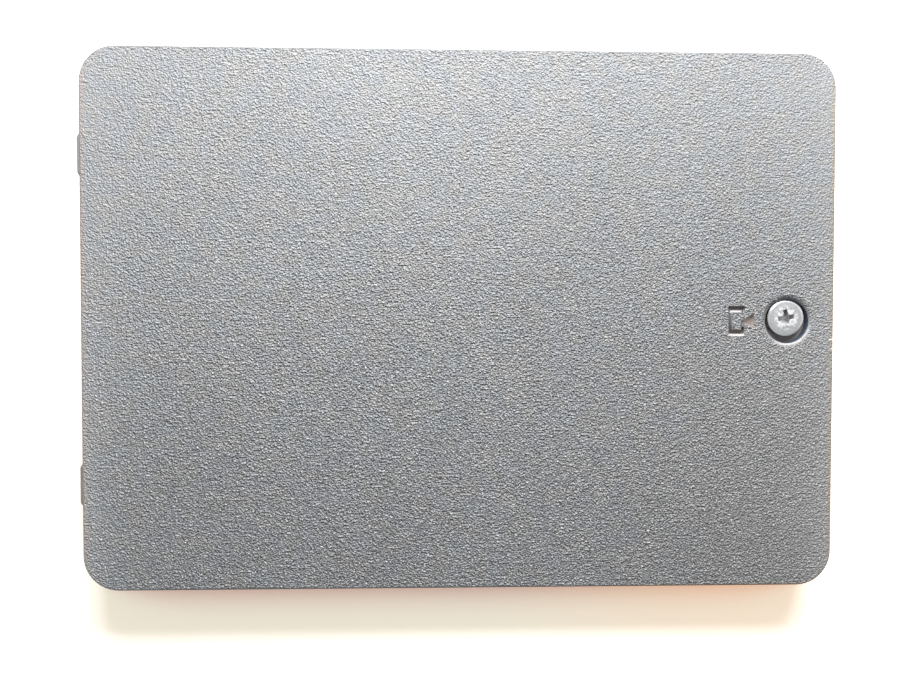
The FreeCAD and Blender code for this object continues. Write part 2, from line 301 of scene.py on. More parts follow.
class CaptiveScrewLook(bpy.types.PropertyGroup):
    """Sizes and colours of the screw."""

    head_bevel: length("Head bevel", "Width of the bevel round the head", 0.34 * MM)
    head_dome: length("Head dome", "Rise of the head's dome", 0.12 * MM)
    head_edge: length("Head edge", "Height of the head's upright edge", 0.8 * MM)
    neck_radius: length("Neck radius", "Radius of the neck under the head", 0.95 * MM)
    thread_radius: length("Thread radius", "Outer radius of the thread", 1.25 * MM)
    thread_pitch: length("Thread pitch", "Distance from one turn of the thread to the next", 0.45 * MM)
    tip_chamfer: length("Tip chamfer", "Chamfer at the thread's end", 0.35 * MM)
    drive_span: length("Drive span", "Size of the cross recess from end to end", 2.4 * MM)
    drive_arm: length("Drive arm", "Width of the cross recess's arms", 0.62 * MM)
    drive_core: length("Drive core", "Diameter of the cross recess's middle", 1.2 * MM)
    drive_depth: length("Drive depth", "Depth of the cross recess", 0.8 * MM)
    drive_end_taper: angle("Drive end taper", "Lean of the recess's outer ends", 24)
    drive_side_taper: angle("Drive side taper", "Lean of the recess's side walls", 6)
    drive_turn: angle("Drive turn", "How far the screw stands turned", 10)
    plating: colour("Plating", "Colour of the nickel plating", (0.49, 0.497, 0.51))
    # The bright plating colour serves both real wear round the recess and the painted highlight on the
    # bevel.
    burnished_and_highlight: colour("Burnished", "Colour of the plating worn bright", (0.94, 0.94, 0.935))
    # The recess's dark deposit is partly dirt and partly painted shade, left off its front arm, which
    # faces the window light.
    grime_and_shade: colour("Grime", "Colour of the dark deposit in the recess", (0.33, 0.33, 0.345))
    roughness: share("Roughness", "Roughness of the plating", 0.34)


class RetainingClipLook(bpy.types.PropertyGroup):
    """Sizes and colours of the spring clip."""

    edge_round: length("Edge round", "Rounding of the stamped edges", 0.05 * MM)
    steel: colour("Steel", "Colour of the oiled spring steel", (0.33, 0.33, 0.34))
    roughness: share("Roughness", "Roughness of the steel", 0.38)


class CoverStageLook(bpy.types.PropertyGroup):
    """Camera, lights and floor."""

    camera_place: place("Camera place", "Where the camera stands", (-0.00399, 0.00011, 0.10705))
    camera_tilt: angle("Camera tilt", "Turn of the camera about the long side", -1.38)
    camera_pan: angle("Camera pan", "Turn of the camera about the short side", -1.61)
    camera_roll: angle("Camera roll", "Turn of the camera about its line of sight", 0.07)
    lens: bpy.props.FloatProperty(
        name="Lens", description="Focal length for a 36 mm wide frame", default=29.12, unit="CAMERA")
    key_place: place("Key place", "Middle of the window light", (0.016, 0.12, 0.08))
    key_width: length("Key width", "Width of the window light", 0.17)
    key_height: length("Key height", "Height of the window light", 0.06)
    key_power: power("Key power", "Power of the window light", 0.505)
    key_colour: colour("Key colour", "Colour of the window light", (1.0, 0.995, 0.985))
    under_power: power("Under power", "Power of the light that shows the underside", 0.25)
    room: colour("Room", "Light that comes from all sides", (0.163, 0.166, 0.1693))
    floor: colour("Floor", "Colour of the paper floor", (0.6, 0.6, 0.6))
    floor_exposure: number("Floor exposure", "How brightly the camera sees the light on the floor", 2.0)
    # The floor's shadow tones are painted: an emitted warm tone in the lamp-lit shadow, more orange at
    # the right end.
    floor_painted_shadow: colour("Floor glow", "Tone that the floor keeps in the shadow", (0.52, 0.455, 0.32))
    floor_painted_shadow_right: colour("Floor glow right", "The same at the right end", (0.59, 0.445, 0.282))
    # The nook tones are painted shade under the panel's edges, set by the floor's open share of the sky.
    floor_painted_nook_shade: colour("Floor nook", "Tone that the floor keeps under the panel", (0.25, 0.065, 0.0))
    floor_painted_nook_shade_right: colour("Floor nook right", "The same at the right end", (0.47, 0.16, 0.0))
    painted_shadow_reach: length("Glow reach", "Distance from the panel beyond which the floor is white", 30 * MM)
    painted_nook_reach: length("Nook reach", "How far from the panel the floor still feels it", 15 * MM)


class Wire:
    """One output of a material's nodes. Arithmetic on wires and numbers adds Math nodes."""

    def __init__(self, tree, socket=None):
        self.tree = tree
        self.socket = socket

    def node(self, kind, settings=None, sockets=None, output=0):
        """Adds a node of this kind: first its settings, then values or wires on its sockets.
        Gives one of its outputs."""
        added = self.tree.nodes.new(kind)
        for name, value in (settings or {}).items():
            setattr(added, name, value)
        for name, value in (sockets or {}).items():
            if isinstance(value, Wire):
                self.tree.links.new(value.socket, added.inputs[name])
            else:
                added.inputs[name].default_value = value
        return Wire(self.tree, added.outputs[output] if added.outputs else None)

    def out(self, name):
        """Another output of the same node."""
        return Wire(self.tree, self.socket.node.outputs[name])

    def math(self, operation, *values):
        """A Math node on these values or wires."""
        return self.node("ShaderNodeMath", {"operation": operation}, dict(enumerate(values)))

    def __add__(self, other):
        return self.math("ADD", self, other)

    def __sub__(self, other):
        return self.math("SUBTRACT", self, other)

    def __rsub__(self, other):
        return self.math("SUBTRACT", other, self)

    def __mul__(self, other):
        return self.math("MULTIPLY", self, other)

    def __truediv__(self, other):
        return self.math("DIVIDE", self, other)

    __radd__ = __add__
    __rmul__ = __mul__

    def size(self):
        """The value without its sign."""
        return self.math("ABSOLUTE", self)

    def least(self, other):
        """The smaller of two values."""
        return self.math("MINIMUM", self, other)

    def most(self, other):
        """The larger of two values."""
        return self.math("MAXIMUM", self, other)

    def swing(self):
        """A noise from 0 to 1, moved to lie about 0."""
        return self - 0.5

    def rise(self, low, high):
        """Smooth step from 0 at low to 1 at high."""
        return self.node("ShaderNodeMapRange", {"interpolation_type": "SMOOTHSTEP"},
                         {"Value": self, "From Min": low, "From Max": high})

    def fall(self, low, high):
        """Smooth step from 1 at low to 0 at high."""
        return 1 - self.rise(low, high)

    def between(self, first, second):
        """Number that goes from first to second as this value goes from 0 to 1."""
        return first + (second - first) * self

    def blend(self, first, second):
        """Colour that goes from first to second as this value goes from 0 to 1."""
        return self.node(
            "ShaderNodeMix", {"data_type": "RGBA"}, {0: self, 6: first, 7: second}, output=2)

    def scaled(self, rgb):
        """A colour multiplied by this value."""
        return self.node("ShaderNodeVectorMath", {"operation": "SCALE"}, {0: rgb, "Scale": self})

    def bump(self):
        """Normal of a surface with this height, in metres."""
        return self.node("ShaderNodeBump", {}, {"Strength": 1.0, "Distance": 1.0, "Height": self})


def far(x, y):
    """Distance of x and y from their zero."""
    squared = x * x + y * y
    return squared.math("SQRT", squared)


def fade(distance, reach):
    """Falls from 1 at no distance: exp(-distance / reach)."""
    return distance.math("EXPONENT", distance * (-1 / reach))


def solid(rgb):
    """A colour with full opacity, for a socket."""
    return (*rgb, 1.0)


def new_material(name):
    """Empty node material and a wire to start from."""
    material = bpy.data.materials.new(name)
    material.use_nodes = True
    material.node_tree.nodes.clear()
    return material, Wire(material.node_tree)


def surface(start, sockets):
    """Puts a Principled shader with these sockets on the material's surface."""
    shader = start.node("ShaderNodeBsdfPrincipled", {}, sockets)
    start.node("ShaderNodeOutputMaterial", {}, {"Surface": shader})


def noise(start, where, spacing, detail=0.0, roughness=0.5):
    """Noise from 0 to 1 whose lumps are about this far apart, in metres."""
    return start.node("ShaderNodeTexNoise", {}, {
        "Vector": where, "Scale": 1 / spacing, "Detail": detail, "Roughness": roughness})


def object_place(start):
    """The point on the piece: the vector, and its x, y and z."""
    where = start.node("ShaderNodeTexCoord", output="Object")
    split = start.node("ShaderNodeSeparateXYZ", {}, {0: where})
    return where, split.out("X"), split.out("Y"), split.out("Z")


def plate_reach(x, look):
    """Distance of x from the plate's middle, and half the plate's length without its tabs."""
    low_x = PANEL_LOW.x + look.tab_reach
    half_x = (PANEL_HIGH.x - low_x) / 2
    return (x - (low_x + half_x)).size(), half_x


def edge_distance(x, y, look):
    """Distance inwards from the plate's outline, a rectangle with round corners."""
    from_middle, half_x = plate_reach(x, look)
    corner_x = from_middle - (half_x - look.corner_radius)
    corner_y = y.size() - (PANEL_HIGH.y - look.corner_radius)
    outside = far(corner_x.most(0.0), corner_y.most(0.0))
    inside = corner_x.most(corner_y).least(0.0)
    return look.corner_radius - outside - inside


def side_distance(x, look):
    """Distance inwards from the nearer short side of the plate."""
    from_middle, half_x = plate_reach(x, look)
    return half_x - from_middle


def scuff(x, y, start, end, bow, width):
    """Mask of a scrape from start to end, bent sideways by bow and fading at both ends."""
    reach = math.dist(start, end)
    unit_x = (end[0] - start[0]) / reach
    unit_y = (end[1] - start[1]) / reach
    along = ((x - start[0]) * unit_x + (y - start[1]) * unit_y) / reach
    across = (y - start[1]) * unit_x - (x - start[0]) * unit_y - along * (1 - along) * (4 * bow)
    ends = along.rise(0.0, 0.3) * along.fall(0.8, 1.0)
    return across.size().fall(0.2 * width, width) * ends


def chip(x, y, spot, radius):
    """Mask of a small round chip."""
    return far(x - spot[0], y - spot[1]).fall(0.4 * radius, radius)


def panel_zones(start, look):
    """Where a point of the panel lies: its place, its distances from edge, side and seat, and masks of
    the seat's surroundings, the outer face, the upper edge, all above the underside, and the back."""
    where, x, y, z = object_place(start)
    from_seat = far(x - (PANEL_HIGH.x - look.seat_inset), y)
    dish_edge = look.seat_rim_radius + look.dish_width
    near_seat = from_seat.fall(dish_edge + 2 * SOFT, dish_edge + 4 * SOFT)
    return SimpleNamespace(
        where=where, x=x, y=y, z=z, from_seat=from_seat, near_seat=near_seat,
        from_edge=edge_distance(x, y, look),
        from_side=side_distance(x, look),
        on_face=z.rise(*FACE_START).most(near_seat * z.rise(*DISH_START)),
        near_top=z.rise(*EDGE_START),
        above_underside=z.rise(*UNDERSIDE_END),
        towards_back=y.rise(*BACK_HALF))


def panel_grain(start, zone, look):
    """Leather-like grain of the outer face and satin of the rest: the noise of its lumps and of its
    flecks, where the grain is, how much of its depth wear has left, and the surface's height."""
    lumps = noise(start, zone.where, look.grain_spacing, 1.0, 0.4)
    clusters = noise(start, zone.where, look.cluster_spacing)
    satin = noise(start, zone.where, SATIN_SPACING, 1.0)
    inner = zone.from_edge.rise(0.5 * look.grain_margin, 1.6 * look.grain_margin)
    off_seat = zone.from_seat.rise(look.seat_rim_radius - SOFT / 2, look.seat_rim_radius + 2 * SOFT)
    grained = zone.on_face * inner * off_seat
    side_loss = look.side_wear * fade(zone.from_side, GRAIN_WEAR_REACH)
    depth = (1 - look.back_wear * zone.towards_back) * (1 - side_loss)
    relief = lumps.swing() * look.grain_height + clusters.swing() * look.cluster_height
    height = relief * depth * grained + satin.swing() * (1 - grained) * look.satin_height
    return SimpleNamespace(lumps=lumps, satin=satin, grained=grained, depth=depth, height=height)


def plastic_colour(start, zone, grain, patches, lighter, look):
    """Colour of the plastic: lighter on the grain's peaks, partly as wear and partly as painted glints,
    painted lighter towards the tabs, in the back left corner and near the short sides, and warmer in
    patches and in a painted warm light at the front right.
    """
    # Lighter peaks: partly wear, partly painted glints, strongest in front.
    peak_and_glint_strength = zone.y.rise(*FRONT_TO_BACK).between(look.peak_glint_front, look.peak_glint_back)
    peaks = grain.lumps.rise(look.peak_level, look.peak_level + 0.1) * peak_and_glint_strength
    speckle = grain.lumps.swing() * look.lump_tone + peaks + grain.satin.swing() * look.fleck_tone
    tone = 1 + patches.swing() * PATCH_TONE + grain.grained * grain.depth * speckle
    # Painted light: lighter towards the tabs and in the back left corner, away from the window light.
    corner_light = zone.x.fall(*PAINTED_CORNER_LEFT) * zone.y.rise(*PAINTED_CORNER_BACK) * look.painted_corner_light
    tone = tone * lighter * (1 + corner_light - zone.x * look.fading)
    warmth = noise(start, zone.where, WARMTH_SPACING, 2.0)
    # Painted warm light at the front right, in place of a warm fill lamp.
    warmth = warmth + zone.x.rise(*WARM_FILL_RIGHT) * zone.y.fall(*WARM_FILL_FRONT) * PAINTED_WARM_FILL
    hue = warmth.rise(0.35, 0.65).blend(solid(look.plastic), solid(look.warm_plastic))
    return tone.scaled(hue)


def tint_sign(base, zone, look):
    """Painted shade in the sunk sign's frame and the tone of its arrow, and a painted highlight on the
    frame's walls that face the window.
    """
    frame_right = look.sign_left + look.sign_width
    at_arrow = zone.x.rise(frame_right, frame_right + SOFT)
    inland = zone.from_edge.rise(*PLAIN_BORDER)
    in_sign = inland * (1 - zone.near_seat) * zone.z.fall(*SIGN_END)
    # Painted shade in the frame; the arrow keeps its own tone.
    tint = at_arrow.blend(solid(look.recess_painted_shade), solid(look.arrow_tint))
    base = (in_sign * zone.above_underside * SIGN_SHADE_AND_TONE).blend(base, tint)
    half_slope = look.sign_slope / 2
    lower_wall = look.sign_top - look.sign_height + half_slope
    upper_wall = look.sign_top - look.sign_bar + half_slope
    from_wall = (zone.y - lower_wall).size().least((zone.y - upper_wall).size())
    on_wall = from_wall.fall(half_slope, 1.6 * half_slope)
    above_floor = zone.z.rise(FACE_Z - 0.95 * look.sign_depth, FACE_Z - 0.8 * look.sign_depth)
    # Painted highlight on the walls that face the window.
    highlight_mask = in_sign * above_floor * on_wall * (1 - at_arrow)
    return (highlight_mask * WALL_HIGHLIGHT).blend(base, solid(look.painted_highlight))


def tint_seat(base, zone, look):
    """Tone of the seat's floor, painted shade on the seat's wall, and a painted highlight on the part of
    the seat's rim that faces the window light.
    """
    rim = look.seat_rim_radius
    wall_start = rim - SEAT_WALL
    on_wall = zone.from_seat.rise(wall_start, wall_start + 0.06 * MM)
    tint = on_wall.blend(solid(look.seat_floor_tint), solid(look.seat_wall_painted_shade))
    in_seat = zone.from_seat.fall(rim, rim + SOFT / 2) * zone.z.fall(*SEAT_END)
    base = (in_seat * zone.above_underside).blend(base, tint)
    on_rim = (zone.from_seat - rim).size().fall(*RIM_BORDER) * zone.z.rise(*RIM_START)
    from_seat_x = zone.x - (PANEL_HIGH.x - look.seat_inset)
    towards = (from_seat_x * LIT_RIM_SIDE[0] + zone.y * LIT_RIM_SIDE[1]) / zone.from_seat
    # Painted highlight on the side of the rim that faces the window light.
    highlight_mask = on_rim * towards.rise(0.35, 0.85)
    return (highlight_mask * RIM_HIGHLIGHT).blend(base, solid(look.painted_highlight))


def tint_edges(base, zone, lighter, look):
    """Painted shading on the rounded short sides, scaled by their painted light, painted shade on the
    thin edge at the back, painted warm light on the front edge at its right end, and painted light on
    the tabs, which lie in the plate's shadow.
    """
    border = zone.from_side.fall(*SIDE_BORDER) * zone.near_top
    side_shading = zone.x.rise(*LEFT_TO_RIGHT).blend(
        solid(look.left_edge_painted_shading), solid(look.right_edge_painted_shading))
    base = (border * SIDE_PAINTED_SHADING).blend(base, lighter.scaled(side_shading))
    edge = zone.from_edge.fall(*THIN_BORDER) * zone.near_top
    at_back = zone.y.rise(PANEL_HIGH.y - 3 * MM, PANEL_HIGH.y - 1 * MM)
    base = (edge * at_back).blend(base, solid(look.back_edge_painted_shade))
    at_front = zone.y.fall(PANEL_LOW.y + 1 * MM, PANEL_LOW.y + 3 * MM)
    base = (edge * at_front * zone.x.rise(*RIGHT_HALF)).blend(base, solid(look.front_edge_painted_warm_light))
    plate_left = PANEL_LOW.x + look.tab_reach
    # Painted light on the shadowed tabs.
    on_tabs = zone.x.fall(plate_left - 2 * SOFT, plate_left - SOFT / 2)
    return on_tabs.blend(base, solid(look.tab_painted_light))


def add_scrapes(base, zone, grain, look):
    """A long scuff on the grain's high spots, and a nick and a chip in the right edge."""
    high_spots = grain.lumps.rise(0.45, 0.62) * zone.on_face
    scraped = scuff(zone.x, zone.y, **LONG_SCUFF) * high_spots * SCUFF_STRENGTH
    nick = scuff(zone.x, zone.y, **EDGE_NICK)
    chipped = nick.most(chip(zone.x, zone.y, **EDGE_CHIP) * CHIP_STRENGTH) * zone.near_top
    return scraped.most(chipped).blend(base, solid(look.scraped))


def panel_plastic(look):
    """Dark plastic: leather-like grain on the outer face, satin elsewhere, painted light and painted
    shade on its edges, tabs, sign and seat, and scrapes.
    """
    material, start = new_material("panel_plastic")
    zone = panel_zones(start, look)
    grain = panel_grain(start, zone, look)
    patches = noise(start, zone.where, PATCH_SPACING, 2.0)
    # Painted light: the factor lighter makes the plastic lighter near the short sides, most in front,
    # and also scales the sides' painted shading.
    wear = zone.y.rise(*SIDE_LIGHT_STRETCH).between(look.side_light_front, look.side_light_back)
    lighter = 1 + fade(zone.from_side, look.side_light_reach) * wear
    base = plastic_colour(start, zone, grain, patches, lighter, look)
    base = tint_sign(base, zone, look)
    base = tint_seat(base, zone, look)
    base = tint_edges(base, zone, lighter, look)
    base = add_scrapes(base, zone, grain, look)
    roughness = look.roughness + patches.swing() * PATCH_ROUGHNESS + look.back_dull * zone.towards_back
    roughness = (roughness + (1 - grain.grained) * SATIN_ROUGHNESS).least(MOST_ROUGHNESS)
    surface(start, {"Base Color": base, "Roughness": roughness, "Specular IOR Level": look.gloss,
                    "Normal": grain.height.bump()})
    return material


def screw_plating(look):
    """Nickel plating: turning rings, bright wear round the recess, a painted highlight on the side of
    the bevel that faces the window light, a head painted lighter towards the back, and a dark deposit in
    the recess that is partly painted shade."""
    material, start = new_material("screw_plating")
    where, x, y, z = object_place(start)
    from_axis_x = x - SCREW_X
    from_axis_y = y - SCREW_Y
    radius = far(from_axis_x, from_axis_y)
    on_head = z.rise(SEAT_FLOOR_Z, SEAT_FLOOR_Z + SOFT)
    mottle = noise(start, where, MOTTLE_SPACING, 2.0)
    blotches = noise(start, where, BLOTCH_SPACING, 1.0)
    rings = start.node("ShaderNodeTexNoise", {"noise_dimensions": "1D"}, {
        "W": radius / RING_SPACING, "Detail": 1.0})
    height = mottle.swing() * MOTTLE_HEIGHT + rings.swing() * RING_HEIGHT * on_head

    half_span = look.drive_span / 2
    inside = on_head * z.fall(SCREW_HIGH.z - 3 * SOFT, SCREW_HIGH.z - SOFT)
    inside = inside * radius.fall(half_span, half_span + SOFT)
    # Dark deposit that is also painted shade, left off the front arm, which faces the window light.
    grimy_and_shaded = inside * from_axis_y.rise(*GRIME_AND_SHADE_FRONT)
    beyond_core = radius.rise(0.4 * half_span, 0.6 * half_span)
    round_recess = beyond_core * radius.fall(1.2 * half_span, 1.6 * half_span)
    bevel_start = HEAD_RADIUS - look.head_bevel
    # Painted highlight: the bevel is painted bright on its side that faces the window light.
    towards = (from_axis_x * LIT_BEVEL_SIDE[0] + from_axis_y * LIT_BEVEL_SIDE[1]) / radius
    bevel = radius.rise(bevel_start - 0.05 * MM, bevel_start + 0.03 * MM)
    bevel = bevel * towards.rise(-0.35, 0.3) * on_head
    # Real wear round the recess and the bevel's painted highlight together.
    worn = (round_recess * blotches.rise(0.4, 0.56) * RECESS_WEAR).most(bevel) * on_head

    # Painted shading: the head is painted lighter towards the back, where the window light is.
    tone = HEAD_TONE + from_axis_y / HEAD_RADIUS * HEAD_SHADING + mottle.swing() * MOTTLE_TONE
    base = worn.blend(tone.scaled(tuple(look.plating)), solid(look.burnished_and_highlight))
    base = (grimy_and_shaded * RECESS_GRIME_AND_SHADE).blend(base, solid(look.grime_and_shade))
    roughness = look.roughness + mottle.swing() * MOTTLE_ROUGHNESS + inside * RECESS_ROUGHNESS
    metallic = 1 - inside * RECESS_DULL - bevel * BEVEL_DULL
    surface(start, {"Base Color": base, "Metallic": metallic, "Roughness": roughness,
                    "Normal": height.bump()})
    return material


def clip_steel(look):
    """Oiled spring steel with a faint mottle."""
    material, start = new_material("clip_steel")
    where = start.node("ShaderNodeTexCoord", output="Object")
    mottle = noise(start, where, OIL_SPACING, 3.0)
    tone = 1 + mottle.swing() * OIL_TONE
    surface(start, {"Base Color": tone.scaled(tuple(look.steel)), "Metallic": 1.0,
                    "Roughness": look.roughness + mottle.swing() * OIL_ROUGHNESS,
                    "Normal": (mottle * OIL_HEIGHT).bump()})
    return material


def seen_directly(start):
    """1 for what the camera sees, also by reflection or through glass."""
    path = start.node("ShaderNodeLightPath")
    mirrored = path.out("Is Glossy Ray")
    return path.out("Is Camera Ray").most(mirrored).most(path.out("Is Transmission Ray"))


def floor_paper(look):
    """White paper that is pure white where it is lit and keeps the lamps' soft shadow, which gets an
    emitted, painted warm tone, a darker painted nook shade under the panel's edges and more orange at
    the right, all turning white away from the panel. It is clear from below and to the light that shows
    the underside, and metal mirrors it without the shadow's warm tones."""
    material, start = new_material("floor_paper")
    lit = start.node("ShaderNodeBsdfDiffuse", {}, {"Color": solid([look.floor_exposure] * 3)})
    open_share = start.node(
        "ShaderNodeAmbientOcclusion", {"samples": 16}, {"Distance": look.painted_nook_reach}, "AO")
    _, x, y, _ = object_place(start)
    right = x.rise(*RIGHT_HALF)
    # Painted shadow tones: a darker painted nook shade near the panel, warmer at the right, white far
    # away.
    nook = right.blend(solid(look.floor_painted_nook_shade), solid(look.floor_painted_nook_shade_right))
    glow = right.blend(solid(look.floor_painted_shadow), solid(look.floor_painted_shadow_right))
    tone = open_share.rise(*NOOK_END).blend(nook, glow)
    away = far((x.size() - PANEL_HIGH.x).most(0.0), (y.size() - PANEL_HIGH.y).most(0.0))
    tone = away.rise(0.6 * look.painted_shadow_reach, look.painted_shadow_reach).blend(tone, WHITE)
    mirrored = start.node("ShaderNodeLightPath", output="Is Glossy Ray")
    tone = mirrored.blend(tone, solid(look.floor))
    painted_tones = start.node("ShaderNodeEmission", {}, {"Color": tone})
    shown = start.node("ShaderNodeAddShader", {}, {0: lit, 1: painted_tones})
    bounced = start.node("ShaderNodeBsdfDiffuse", {}, {"Color": solid(look.floor)})
    front = start.node("ShaderNodeMixShader", {}, {0: seen_directly(start), 1: bounced, 2: shown})
    clear = start.node("ShaderNodeBsdfTransparent")
    back = start.node("ShaderNodeNewGeometry", output="Backfacing")
    passing = back.most(start.node("ShaderNodeLightPath", output="Is Shadow Ray"))
    shader = start.node("ShaderNodeMixShader", {}, {0: passing, 1: front, 2: clear})
    start.node("ShaderNodeOutputMaterial", {}, {"Surface": shader})
    return material


def linked(name, mesh):
    """New object in the scene for a mesh, a light or a camera."""
    piece = bpy.data.objects.new(name, mesh)
    bpy.context.scene.collection.objects.link(piece)
    return piece


def mesh_piece(name, points, faces):
    """New piece from an array of points and lists of corner numbers."""
    mesh = bpy.data.meshes.new(name)
    mesh.from_pydata(points.tolist(), [], faces)
    return linked(name, mesh)


def merged_copy(node, name):
    """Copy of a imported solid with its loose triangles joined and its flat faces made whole."""
    work = bmesh.new()
    work.from_mesh(frame["nodes"][node].data)
    bmesh.ops.remove_doubles(work, verts=work.verts, dist=MERGE_DISTANCE)
    bmesh.ops.dissolve_limit(
        work, angle_limit=math.radians(FLAT_ANGLE), verts=work.verts, edges=work.edges)
    mesh = bpy.data.meshes.new(name)
    work.to_mesh(mesh)
    work.free()
    return linked(name, mesh)


def cut(piece, cutter):
    """Takes the cutter's space out of a piece and removes the cutter."""
    change = piece.modifiers.new("cut", "BOOLEAN")
    change.object = cutter
    change.operation = "DIFFERENCE"
    change.solver = "EXACT"
    bpy.context.view_layer.update()
    result = piece.evaluated_get(bpy.context.evaluated_depsgraph_get())
    piece.data = bpy.data.meshes.new_from_object(result)
    piece.modifiers.clear()
    bpy.data.objects.remove(cutter)


def shade(piece):
    """Smooth shading that stays sharp at edges over the sharp angle. Level faces are exactly flat."""
    mesh = piece.data
    mesh.shade_smooth()
    mesh.set_sharp_from_angle(angle=math.radians(SHARP_ANGLE))
    normals = np.empty(len(mesh.polygons) * 3)
    mesh.polygons.foreach_get("normal", normals)
    level = np.abs(normals[2::3]) > LEVEL_NORMAL
    mesh.polygons.foreach_set("use_smooth", ~level)
    even = piece.modifiers.new("even", "WEIGHTED_NORMAL")
    even.keep_sharp = True
    even.weight = 100


def dress(piece, material, body, node):
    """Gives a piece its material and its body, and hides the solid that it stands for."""
    piece.data.materials.clear()
    piece.data.materials.append(material)
    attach(piece, body)
    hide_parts(node)


def unit_circle(count):
    """Points evenly spaced on a circle of radius 1."""
    turn = np.linspace(0, 2 * np.pi, count, endpoint=False)
    return np.stack([np.cos(turn), np.sin(turn)], axis=1)


def loft(name, outlines, levels):
    """Closed solid through outlines of equally many points, from the lowest level to the highest:
    point(i, j) = outline i's corner j at level i, with a flat cap at each end."""
    outlines = np.asarray(outlines)
    count, corners = outlines.shape[:2]
    heights = np.repeat(np.asarray(levels)[:, None, None], corners, axis=1)
    points = np.concatenate([outlines, heights], axis=2).reshape(-1, 3)
    i, j = np.meshgrid(np.arange(count - 1) * corners, np.arange(corners), indexing="ij")
    k = (j + 1) % corners
    sides = np.stack([i + j, i + k, i + corners + k, i + corners + j], axis=-1).reshape(-1, 4)
    bottom = np.arange(corners)[::-1]
    top = np.arange(corners) + (count - 1) * corners
    return mesh_piece(name, points, sides.tolist() + [bottom.tolist(), top.tolist()])


def directions(outline):
    """Unit vectors along the sides of an outline."""
    along = np.roll(outline, -1, axis=0) - outline
    return along / np.linalg.norm(along, axis=1, keepdims=True)


def inset(outline, distance):
    """Outline whose sides are moved inwards, each by its distance. With the inward normals m and n of
    the sides before and after a corner, their distances a and b, and c = m . n, the corner moves by
    ((a - c b) m + (b - c a) n) / (1 - c^2)."""
    along = directions(outline)
    after = np.stack([-along[:, 1], along[:, 0]], axis=1)
    after_distance = np.broadcast_to(distance, len(outline))[:, None]
    before = np.roll(after, 1, axis=0)
    before_distance = np.roll(after_distance, 1, axis=0)
    product = (before * after).sum(axis=1, keepdims=True)
    move = (before_distance - product * after_distance) * before
    move = move + (after_distance - product * before_distance) * after
    return outline + move / (1 - product ** 2)


def sign_recess(name, outline, look):
    """Cutter for one recess of the sign: a loft from its flat floor up sloping walls to an eased edge,
    with the outline inset by less at each level. A side in the direction (u, v) leans in by
    u^2 * slope + v^2 * upright slope."""
    outline = np.asarray(outline)
    ease = look.sign_round
    slope = directions(outline) ** 2 @ (look.sign_slope, look.sign_upright_slope)
    steps = [(slope, -look.sign_depth), (0.0, -ease), (-ease, 0.0), (-2 * ease, ease)]
    return loft(name, [inset(outline, d) for d, _ in steps], [FACE_Z + z for _, z in steps])


def sign_outlines(look):
    """Outlines of the sign: a frame that is open at its right, and an arrow that points into it."""
    left, top = look.sign_left, look.sign_top
    right, bottom = left + look.sign_width, top - look.sign_height
    bar, upright, end = look.sign_bar, look.sign_upright, look.sign_return
    inner_left, inner_right = left + upright, right - upright
    frame_outline = [
        (left, bottom), (right, bottom), (right, bottom + end), (inner_right, bottom + end),
        (inner_right, bottom + bar), (inner_left, bottom + bar), (inner_left, top - bar),
        (inner_right, top - bar), (inner_right, top - end), (right, top - end),
        (right, top), (left, top),
    ]
    tip_x, middle = left + look.arrow_tip, (top + bottom) / 2
    base_x, half = tip_x + look.arrow_length, look.arrow_width / 2
    arrow_outline = [(tip_x, middle), (base_x, middle - half), (base_x, middle + half)]
    return frame_outline, arrow_outline


def dish_cutter(look, columns=96):
    """Cutter for the shallow dish round the screw seat: a cone from below the seat's rim to above the
    face, whose radius grows by the dish's width over its depth."""
    centre = np.array([PANEL_HIGH.x - look.seat_inset, 0.0])
    circle = unit_circle(columns)
    slope = look.dish_width / look.dish_depth
    below = look.dish_depth / 2
    above = 2 * CUTTER_CLEARANCE
    low_radius = look.seat_rim_radius - below * slope
    high_radius = look.seat_rim_radius + look.dish_width + above * slope
    levels = [FACE_Z - look.dish_depth - below, FACE_Z + above]
    return loft("dish_cutter", [centre + circle * low_radius, centre + circle * high_radius], levels)


def eased(corners, cuts, steps=5):
    """Profile whose inner corners are eased: each becomes the quadratic curve that leaves and joins
    its two sides one cut away from the corner."""
    corners = np.asarray(corners)
    cuts = np.asarray(cuts)[:, None]
    corner = corners[1:-1]
    back = corners[:-2] - corner
    ahead = corners[2:] - corner
    start = corner + cuts * back / np.linalg.norm(back, axis=1, keepdims=True)
    end = corner + cuts * ahead / np.linalg.norm(ahead, axis=1, keepdims=True)
    t = np.linspace(0, 1, steps)[None, :, None]
    bends = (1 - t) ** 2 * start[:, None] + 2 * t * (1 - t) * corner[:, None] + t ** 2 * end[:, None]
    return np.concatenate([corners[:1], bends.reshape(-1, 2), corners[-1:]])


def turned(name, radius, level, columns):
    """Closed surface about the screw's axis: point(i, j) = axis + radius[i, j] at angle j, level[i],
    closed by a fan at its top and its bottom."""
    rows = len(level)
    centre = np.array([SCREW_X, SCREW_Y])
    ring_points = centre + radius[:, :, None] * unit_circle(columns)
    heights = np.broadcast_to(level[:, None], radius.shape)[:, :, None]
    rings = np.concatenate([ring_points, heights], axis=-1)
    poles = np.array([[SCREW_X, SCREW_Y, level[0]], [SCREW_X, SCREW_Y, level[-1]]])
    points = np.concatenate([rings.reshape(-1, 3), poles])
    i, j = np.meshgrid(np.arange(rows - 1) * columns, np.arange(columns), indexing="ij")
    k = (j + 1) % columns
    walls = np.stack([i + j, i + columns + j, i + columns + k, i + k], axis=-1).reshape(-1, 4)
    first = np.arange(columns)
    last = first + (rows - 1) * columns
    top = np.stack([np.full(columns, rows * columns), first, np.roll(first, -1)], axis=-1)
    bottom = np.stack([np.full(columns, rows * columns + 1), np.roll(last, -1), last], axis=-1)
    return mesh_piece(name, points, walls.tolist() + top.tolist() + bottom.tolist())


